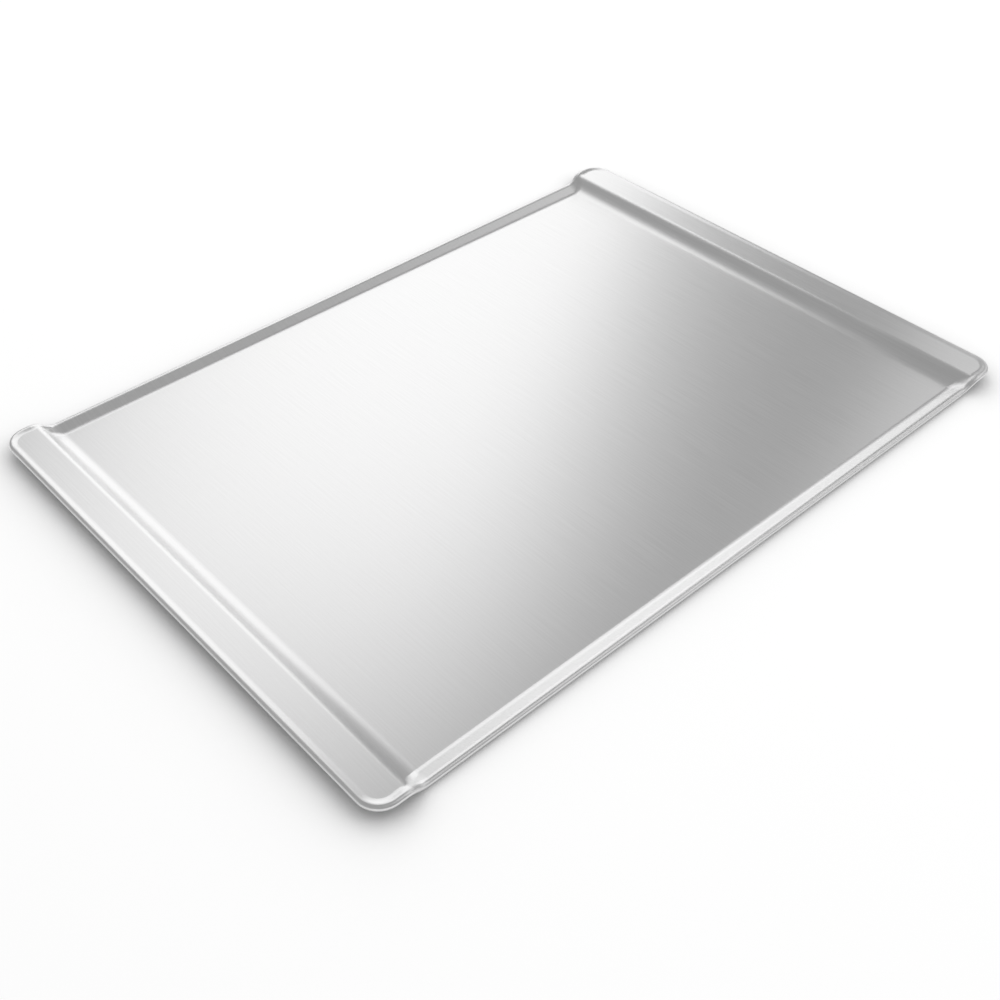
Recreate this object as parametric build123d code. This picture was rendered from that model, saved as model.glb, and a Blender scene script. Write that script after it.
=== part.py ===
from build123d import *
from math import cos, radians, sin, tan
import os

# Cookie sheet: a pressed steel sheet whose edge is curled round a steel rod.
# Millimetres, +Z up, long side along X. The origin is the middle of the flat underside,
# on the surface that the sheet rests on.

# Sheet metal
gauge = 0.8

# Plan, over the outside of the bead
overall_length = 508.0
rim_width = 358.0
corner_flare = 1.6
corner_radius = 14.0

# Rod inside the rim, and the bead that the edge is curled into round it
rod_diameter = 2.2
rod_clearance = 0.1
rod_butt_gap = 1.0
curl_sweep = 261.0

# Hidden rounds drawn with flat sides: the rod, and the bore once it has left the wall
rod_sides = 12
bore_sides = 9
bore_round_sweep = 51.0

# Heights: the bead along the long sides above the resting surface, and its climb to the flanges
bead_lift = 0.1
flange_rise = 5.6

# Raised handle flange at each short end, and the wall that climbs to it
crest_setback = 9.0
flange_fall = 0.4
flange_drop = 0.45
end_wall_angle = 50.0

# Shallow wall along each long side, which also carries the bead round the flange
side_wall_angle = 24.0

# Stretch over which the rim climbs, past the foot and past the top of the end wall
ramp_lead = 4.5
ramp_lag = 4.5

# Inside radii of the bends: foot and top of the end wall, and the valley beside the bead
foot_bend = 12.0
crest_bend = 4.0
valley_bend = 8.0
valley_back_bend = 1.0

# Outside radius of the wall's flatter round where it comes over the top of the bead
brow_radius = 5.0

# How far cutting shapes run past what they cut
overrun = 6.0

rod_radius = rod_diameter / 2
bore_radius = rod_radius + rod_clearance
bead_radius = bore_radius + gauge
wall_slope = tan(radians(side_wall_angle))
quarter_turn = 90

# Rim path: the centre line of the bead, in the quarter where x and y are above zero
end_x = overall_length / 2 - bead_radius
side_y = rim_width / 2 - bead_radius
flared_y = side_y + corner_flare
low_z = bead_lift + bead_radius
high_z = low_z + flange_rise
path_radius = corner_radius - bead_radius
side_wall_reach = path_radius - gauge
corner_x = end_x - path_radius
corner_y = flared_y - path_radius

# End section, the top surface that runs along Y: base, end wall and handle flange
crest_x = corner_x - crest_setback
flange_outer_z = high_z + bead_radius - flange_drop
flange_inner_z = flange_outer_z - flange_fall
foot_x = crest_x - (flange_inner_z - gauge) / tan(radians(end_wall_angle))

# The climb of the rim begins before the foot of the end wall and ends past its top.
ramp_start = Vector(foot_x - ramp_lead, side_y, low_z)
ramp_end = Vector(crest_x + ramp_lag, flared_y, high_z)


def rim_plane(point):
    """Upright plane across the rim: local X points outwards along Y, local Y points up."""
    return Plane(origin=point, x_dir=(0, 1, 0), z_dir=(1, 0, 0))


def climb_path():
    """Two equal arcs that lift the bead from the long side and flare it out to the flange."""
    middle = (ramp_start + ramp_end) / 2
    lift = TangentArc(ramp_start, middle, tangent=(1, 0, 0))
    level = TangentArc(ramp_end, middle, tangent=(-1, 0, 0))
    return Wire([lift, level])


def along_rim(profile):
    """Carry a profile, drawn round the bead's centre, along one quarter of the rim.

    On the climb the profile stays upright and parallel to itself, so it meets the
    straight runs before and after it face to face.
    """
    side = extrude(rim_plane((0, side_y, low_z)) * profile, amount=ramp_start.X)
    section = (rim_plane(ramp_start) * profile).face()
    climb = Solid.sweep(section, path=climb_path(), mode=Vector(1, 0, 0))
    link = extrude(rim_plane(ramp_end) * profile, amount=corner_x - ramp_end.X)
    turning_axis = Axis((corner_x, corner_y, 0), (0, 0, -1))
    corner = revolve(rim_plane((corner_x, flared_y, high_z)) * profile, turning_axis, quarter_turn)
    end_plane = Plane(origin=(end_x, corner_y, high_z), x_dir=(1, 0, 0), z_dir=(0, -1, 0))
    end = extrude(end_plane * profile, amount=corner_y)
    return side + climb + link + corner + end


def wall_line(depth):
    """Ends of the wall's straight surface in the rim section, from the brow inwards.

    The depth is 0 for the top surface and one gauge for the underside.
    """
    lean = radians(side_wall_angle)
    radius = brow_radius - depth
    top = Vector(-radius * sin(lean), bead_radius - brow_radius + radius * cos(lean))
    foot = Vector(-side_wall_reach, top.Y - (side_wall_reach + top.X) * wall_slope)
    return top, foot


def brow_arc(depth):
    """Round from the top of the bead inwards to the wall."""
    middle = (0, bead_radius - brow_radius)
    return CenterArc(middle, brow_radius - depth, quarter_turn, side_wall_angle)


def curl_profile():
    """Section of the bead: the wall rolls over outwards, down and back under itself."""
    end_angle = quarter_turn - curl_sweep
    outer = CenterArc((0, 0), bead_radius, quarter_turn, -curl_sweep)
    round_part = CenterArc((0, 0), bore_radius, quarter_turn, -bore_round_sweep)
    side_turn = (curl_sweep - bore_round_sweep) / bore_sides
    turns = [end_angle + side_turn * side for side in range(bore_sides)]
    flats = [Vector(bore_radius, 0).rotate(Axis.Z, turn) for turn in turns]
    hem = Polyline(outer @ 1, *flats, round_part @ 1)
    brow, under_brow = brow_arc(0), brow_arc(gauge)
    closing = Line(under_brow @ 1, brow @ 1)
    return make_face([outer, *hem.edges(), round_part, under_brow, closing, brow])


def wall_profile():
    """Section of the sloping wall, one gauge thick, that runs down inwards from the bead."""
    outer_top, outer_foot = wall_line(0)
    inner_top, inner_foot = wall_line(gauge)
    return make_face(Polyline(outer_top, outer_foot, inner_foot, inner_top, close=True))


def outside_profile():
    """Section of all that lies under the wall and beyond the middle of the bead."""
    top, foot = wall_line(gauge)
    below = -high_z - overrun
    corners = [
        (0, bore_radius),
        top,
        foot,
        (foot.X, below),
        (overrun, below),
        (overrun, overrun),
        (0, overrun),
    ]
    return make_face(Polyline(*corners, close=True))


def end_line():
    """Top surface of the base, end wall and flange, in the plane of X and Z."""
    points = [(0, gauge), (foot_x, gauge), (crest_x, flange_inner_z), (end_x, flange_outer_z)]
    return FilletPolyline(*points, radius=[foot_bend, crest_bend + gauge])


def end_section():
    """Base, end wall and flange of one quarter, cut square at the sides."""
    outline = offset(end_line(), amount=gauge, side=Side.RIGHT, closed=True)
    return extrude(Plane.XZ * make_face(outline.edges()), amount=-flared_y)


def under_end_section():
    """Space under the base, end wall and flange of one quarter."""
    underside = offset(end_line(), amount=gauge, side=Side.RIGHT, closed=False)
    first = underside @ 0
    last = underside @ 1
    drop = Polyline(last, (last.X, -overrun), (first.X, -overrun), first)
    return extrude(Plane.XZ * make_face([*underside.edges(), *drop.edges()]), amount=-flared_y)


def back_bend():
    """Round under the valley, as large as the straight underside of the wall lets it be."""
    lean = radians(side_wall_angle)
    top, _ = wall_line(gauge)
    straight_drop = top.Y - (bead_radius - flange_drop - gauge)
    return min(valley_back_bend, straight_drop / sin(lean) / tan(lean / 2))


def edge_near(shape, point):
    return shape.edges().sort_by_distance(point)[0]


def sheet_quarter():
    """A quarter of the sheet, with the valley between floor and wall rounded on both faces.

    One bend runs unbroken along the long side, up the mitre at the corner, over the top of
    the end wall and round the flange beside the bead.
    """
    plate = end_section() - along_rim(outside_profile())
    wall = along_rim(wall_profile()) - under_end_section()
    body = plate + wall + along_rim(curl_profile())
    body = body.solid()
    inner_top, _ = wall_line(gauge)
    outer_top, _ = wall_line(0)
    middle_x = ramp_start.X / 2
    valley_y = side_y + outer_top.X - (low_z + outer_top.Y - gauge) / wall_slope
    ridge_y = side_y + inner_top.X - (low_z + inner_top.Y) / wall_slope
    body = body.fillet(valley_bend, [edge_near(body, (middle_x, valley_y, gauge))])
    return body.fillet(back_bend(), [edge_near(body, (middle_x, ridge_y, 0))])


def four_quarters(quarter):
    """Mirror one quarter of the model into the other three and join them."""
    half = quarter + mirror(quarter, about=Plane.XZ)
    return half + mirror(half, about=Plane.YZ)


def formed_sheet():
    return four_quarters(sheet_quarter())


def rim_wire():
    """Rod bent round the whole rim, its ends butted at the middle of one long side."""
    loop = four_quarters(along_rim(RegularPolygon(rod_radius, rod_sides)))
    gap = Pos(0, side_y, low_z) * Box(rod_butt_gap, 2 * bead_radius, 2 * bead_radius)
    return loop - gap


os.makedirs("parts", exist_ok=True)
nodes = {"formed_sheet": formed_sheet, "rim_wire": rim_wire}
for name, build in nodes.items():
    export_step(build(), f"parts/{name}.step")
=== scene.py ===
# %% [markdown]
# # A cookie sheet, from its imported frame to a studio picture
# The object is one pressed sheet of brushed stainless steel with a rod rolled into its rim.
# The frame gives both pieces at their real size, in metres, with the long side along X and
# the sheet lying on the plane where Z is zero. Both have their full form already, so nothing
# is modelled here. This lesson adds what the frame doesn't hold: the camera, the finish of
# the metal, the floor and the light.

from math import cos, pi, radians, sin

import bpy
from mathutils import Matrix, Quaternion, Vector


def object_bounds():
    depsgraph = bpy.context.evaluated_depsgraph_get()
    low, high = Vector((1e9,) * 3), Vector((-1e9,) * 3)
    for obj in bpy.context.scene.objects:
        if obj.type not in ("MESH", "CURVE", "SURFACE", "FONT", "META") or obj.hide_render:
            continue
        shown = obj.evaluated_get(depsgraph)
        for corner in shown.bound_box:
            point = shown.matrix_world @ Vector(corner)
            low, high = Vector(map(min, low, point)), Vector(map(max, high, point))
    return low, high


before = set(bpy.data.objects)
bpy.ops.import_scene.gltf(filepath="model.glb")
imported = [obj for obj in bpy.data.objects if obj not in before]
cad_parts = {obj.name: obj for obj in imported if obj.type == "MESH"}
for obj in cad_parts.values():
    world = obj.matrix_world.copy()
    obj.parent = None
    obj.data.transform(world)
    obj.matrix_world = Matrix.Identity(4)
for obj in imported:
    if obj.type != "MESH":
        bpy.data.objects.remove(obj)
cad_low, cad_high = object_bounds()
MM = 0.001
spans = [round((high - low) / MM, 1) for low, high in zip(cad_low, cad_high)]
print("the sheet measures", spans, "mm")

# %% [markdown]
# ## The camera
# The picture is taken from above one corner, with the long side going away to the right. A
# camera can be moved by eye until the picture looks right. Here its place, its direction and
# its lens were worked out from the sheet's straight edges instead, because their places on
# the sheet are known, and each has to fall where the photograph has it. The camera looks down
# at 42 degrees and is hardly rolled.

# %% Camera
CAMERA_PLACE = Vector((-0.4396, -0.4658, 0.5096))
CAMERA_VIEW = Vector((0.49896, 0.54502, -0.67379))
CAMERA_ROLL = radians(0.19)
FOCAL_LENGTH = 47.03
SENSOR_WIDTH = 36.0
FARTHEST_SEEN = 50.0


def add_camera():
    data = bpy.data.cameras.new("camera")
    data.sensor_fit = "HORIZONTAL"
    data.sensor_width = SENSOR_WIDTH
    data.lens = FOCAL_LENGTH
    data.clip_end = FARTHEST_SEEN
    camera = bpy.data.objects.new("camera", data)
    bpy.context.scene.collection.objects.link(camera)
    turn = CAMERA_VIEW.to_track_quat("-Z", "Y") @ Quaternion((0, 0, 1), CAMERA_ROLL)
    camera.matrix_world = turn.to_matrix().to_4x4()
    camera.location = CAMERA_PLACE
    bpy.context.scene.camera = camera


add_camera()
print("the camera stands", round(CAMERA_PLACE.length, 3), "m from the sheet's middle")

# %% [markdown]
# ## Brushed stainless steel
# The steel is brushed parallel to the short sides of the sheet. The strokes are fine, long and
# shallow, and they run on over the walls and the rim. They could be cut into the mesh, which
# takes millions of faces, or painted on an image, which needs the curled rim laid flat. A
# noise in the material needs neither: it is squeezed along X and drawn out along Y and Z, with
# finer strokes within the wide ones. From stroke to stroke it changes the roughness, the
# height and, by a few percent, how much light comes back. Light spreads across the strokes,
# which is what the shader's anisotropy is for.

# %% Strokes
STROKE_WIDTH = 0.9 * MM
STROKE_LENGTH = 40 * MM
STROKE_DETAIL = 5.0


def brush_strokes(tree):
    """A noise on the object's own coordinates, which the mapping makes as large as the strokes."""
    place = tree.nodes.new("ShaderNodeTexCoord")
    mapping = tree.nodes.new("ShaderNodeMapping")
    mapping.inputs["Scale"].default_value = (1 / STROKE_WIDTH, 1 / STROKE_LENGTH, 1 / STROKE_LENGTH)
    noise = tree.nodes.new("ShaderNodeTexNoise")
    noise.inputs["Scale"].default_value = 1.0
    noise.inputs["Detail"].default_value = STROKE_DETAIL
    tree.links.new(place.outputs["Object"], mapping.inputs["Vector"])
    tree.links.new(mapping.outputs["Vector"], noise.inputs["Vector"])
    return noise.outputs["Fac"]


print("a stroke is about", round(STROKE_WIDTH / MM, 1), "by", round(STROKE_LENGTH / MM, 1), "mm")

# %% [markdown]
# ### What the strokes change
# The noise keeps mostly between two values. One is carried to the darkest tone and the least
# roughness, the other to the lightest tone and the most. The height takes the noise as it is,
# and it is so small that it only ruffles the reflections.

# %% Tone, roughness and height
NOISE_LOW, NOISE_HIGH = 0.3, 0.7
TONE_CHANGE = 0.035
SMOOTHEST, ROUGHEST = 0.31, 0.35
STROKE_HEIGHT = 0.002 * MM
BUMP_STRENGTH = 0.3


def grey(tone):
    """An opaque grey, from 0 for black to 1 for white."""
    return (tone, tone, tone, 1)


def stroke_tone(tree, strokes, tone):
    """A grey that is a little darker and lighter than the tone from stroke to stroke."""
    ramp = tree.nodes.new("ShaderNodeValToRGB")
    dark, light = ramp.color_ramp.elements
    dark.position, light.position = NOISE_LOW, NOISE_HIGH
    dark.color = grey(tone * (1 - TONE_CHANGE))
    light.color = grey(tone * (1 + TONE_CHANGE))
    tree.links.new(strokes, ramp.inputs["Fac"])
    return ramp.outputs["Color"]


def stroke_roughness(tree, strokes):
    span = tree.nodes.new("ShaderNodeMapRange")
    span.inputs["From Min"].default_value = NOISE_LOW
    span.inputs["From Max"].default_value = NOISE_HIGH
    span.inputs["To Min"].default_value = SMOOTHEST
    span.inputs["To Max"].default_value = ROUGHEST
    tree.links.new(strokes, span.inputs["Value"])
    return span.outputs["Result"]


def stroke_height(tree, strokes):
    bump = tree.nodes.new("ShaderNodeBump")
    bump.inputs["Strength"].default_value = BUMP_STRENGTH
    bump.inputs["Distance"].default_value = STROKE_HEIGHT
    tree.links.new(strokes, bump.inputs["Height"])
    return bump.outputs["Normal"]


print("the steel's roughness goes from", SMOOTHEST, "to", ROUGHEST)

# %% [markdown]
# ### The two steels
# Both pieces are plain metal, so all that they show is mirrored and their colour is a grey.
# The sheet is pale. The rod is drawn wire, a darker grey, and it lies hidden in the rim. The
# tangent points along X, across the strokes, and the light spreads along it.

# %% Brushed steel
SHEET_TONE = 0.80
WIRE_TONE = 0.55
LIGHT_SPREAD = 0.85


def new_material(name):
    material = bpy.data.materials.new(name)
    material.use_nodes = True
    tree = material.node_tree
    return material, tree, tree.nodes["Principled BSDF"]


def brushed_steel(name, tone):
    material, tree, shader = new_material(name)
    strokes = brush_strokes(tree)
    shader.inputs["Metallic"].default_value = 1.0
    shader.inputs["Anisotropic"].default_value = LIGHT_SPREAD
    tree.links.new(stroke_tone(tree, strokes, tone), shader.inputs["Base Color"])
    tree.links.new(stroke_roughness(tree, strokes), shader.inputs["Roughness"])
    tree.links.new(stroke_height(tree, strokes), shader.inputs["Normal"])
    across = tree.nodes.new("ShaderNodeCombineXYZ")
    across.inputs["X"].default_value = 1.0
    tree.links.new(across.outputs["Vector"], shader.inputs["Tangent"])
    return material


def finish_node(node, material):
    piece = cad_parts[node]
    piece.data.materials.clear()
    piece.data.materials.append(material)
    print(node, "is finished in", material.name)


finish_node("formed_sheet", brushed_steel("brushed_stainless", SHEET_TONE))
finish_node("rim_wire", brushed_steel("drawn_wire", WIRE_TONE))

# %% [markdown]
# ## The floor
# The floor is a wide sheet of white paper. More light would make it white, but would bleach
# the metal as well. So the paper glows a little by itself, for the camera and for rays that
# gloss and glass send out, and the lamps do the rest. The glow fades where the sheet stands
# close over the paper, which is a painted shadow: the rim is only 4 to 10 mm high, so without
# this the paper would show almost no shadow, and the underside of the rim would lose its dark
# line, which is this painted shadow mirrored in the metal.

# %% Paper
PAPER_TONE = 0.90
PAPER_ROUGHNESS = 0.9
PAPER_GLOW = 0.51
SHADE_REACH = 60 * MM
SHADE_DEPTH = 2.5


def combine(tree, operation, first, second):
    """One Math node. The second value is a socket to link or a number to set."""
    node = tree.nodes.new("ShaderNodeMath")
    node.operation = operation
    tree.links.new(first, node.inputs[0])
    if isinstance(second, float):
        node.inputs[1].default_value = second
    else:
        tree.links.new(second, node.inputs[1])
    return node.outputs[0]


def shaded_glow(tree):
    """The glow where the camera, gloss or glass looks, faded where something is close: a painted
    shadow.
    """
    path = tree.nodes.new("ShaderNodeLightPath")
    seen = path.outputs["Is Camera Ray"]
    for ray in ("Is Glossy Ray", "Is Transmission Ray"):
        seen = combine(tree, "MAXIMUM", seen, path.outputs[ray])
    glow = combine(tree, "MULTIPLY", seen, PAPER_GLOW)
    # Painted shadow: ambient occlusion dims the paper's glow near the sheet, also in its
    # reflections.
    openness = tree.nodes.new("ShaderNodeAmbientOcclusion")
    openness.inputs["Distance"].default_value = SHADE_REACH
    painted_shadow = combine(tree, "POWER", openness.outputs["AO"], SHADE_DEPTH)
    return combine(tree, "MULTIPLY", glow, painted_shadow)


def white_paper():
    """Matt paper, so it has no specular reflection."""
    material, tree, shader = new_material("white_paper")
    shader.inputs["Base Color"].default_value = grey(PAPER_TONE)
    shader.inputs["Roughness"].default_value = PAPER_ROUGHNESS
    shader.inputs["Specular IOR Level"].default_value = 0.0
    shader.inputs["Emission Color"].default_value = grey(1)
    tree.links.new(shaded_glow(tree), shader.inputs["Emission Strength"])
    return material


print("the paper's shade reaches", round(SHADE_REACH / MM), "mm from what stands over it")

# %% Floor
FLOOR_SIZE = 8.0


def add_floor():
    bpy.ops.object.select_all(action="DESELECT")
    bpy.ops.mesh.primitive_plane_add(size=FLOOR_SIZE)
    floor = bpy.context.active_object
    floor.name = "floor"
    floor.data.materials.append(white_paper())
    print("the floor is", FLOOR_SIZE, "m wide")


add_floor()

# %% [markdown]
# ## The lamps
# Brushed metal shows its lamps as soft bright fields. One tall softbox stands behind the far
# long side and leans over, so its reflection fills the left and the far part of the base and
# fades out across the middle. It reaches down almost to the table, which lights the shallow
# wall along the near side, because that wall looks away from the camera and low over the far
# side, and two low strips help it there. A weaker panel at the right end lightens that end,
# and a narrow one in front on the right draws the white line along the near rim. A picture of
# a studio could light the sheet as well, but panels can be moved one by one until each
# reflection falls in its place. They are hidden from the camera, so that other views show the
# sheet and not the lamps.

# %% Lamps
LAMP_DISTANCE = 2.5
MIDDLE = Vector((0, 0, 0))


def from_middle(azimuth, elevation):
    """A place seen from the sheet's middle, its azimuth going from +X towards +Y, in degrees."""
    flat = LAMP_DISTANCE * cos(radians(elevation))
    return Vector((
        flat * cos(radians(azimuth)),
        flat * sin(radians(azimuth)),
        LAMP_DISTANCE * sin(radians(elevation)),
    ))


def add_lamp(name, azimuth, elevation, width, height, strength, roll=0.0):
    """A panel that faces the middle. A strength makes a face of any size equally bright."""
    data = bpy.data.lights.new(name, "AREA")
    data.shape = "RECTANGLE"
    data.size = width
    data.size_y = height
    data.energy = strength * pi * width * height
    lamp = bpy.data.objects.new(name, data)
    bpy.context.scene.collection.objects.link(lamp)
    lamp.visible_camera = False
    place = from_middle(azimuth, elevation)
    lamp.location = place
    turn = (MIDDLE - place).to_track_quat("-Z", "Y")
    lamp.rotation_euler = (turn @ Quaternion((0, 0, 1), radians(roll))).to_euler()
    print(name, "is", width, "by", height, "m and gives", round(data.energy, 2), "W")


add_lamp("key_softbox", azimuth=57, elevation=31, width=1.35, height=2.5, strength=1.0, roll=-18)
add_lamp("side_fill", azimuth=0, elevation=38, width=1.6, height=1.3, strength=0.68)
add_lamp("low_strip", azimuth=53, elevation=8, width=2.2, height=0.4, strength=0.15)
add_lamp("left_strip", azimuth=73, elevation=10, width=0.9, height=0.5, strength=0.75)
add_lamp("rim_panel", azimuth=313, elevation=36, width=0.9, height=2.4, strength=0.9)

# %% [markdown]
# ## The room
# Metal that mirrors nothing is black, so something has to fill the room between the lamps.
# Walls would do it, but they hide the sheet from some sides. An even white from everywhere
# was chosen, because the dark part of the base and the far wall are an even grey, and its
# strength sets how dark that grey is. The Standard view shows the colours as they are.

# %% Room
ROOM_LIGHT = 0.39


def light_room():
    world = bpy.data.worlds.new("room")
    bpy.context.scene.world = world
    world.use_nodes = True
    room = world.node_tree.nodes["Background"]
    room.inputs["Color"].default_value = grey(1)
    room.inputs["Strength"].default_value = ROOM_LIGHT
    print("the room gives", ROOM_LIGHT, "of white from all sides")


light_room()
bpy.context.scene.view_settings.view_transform = "Standard"
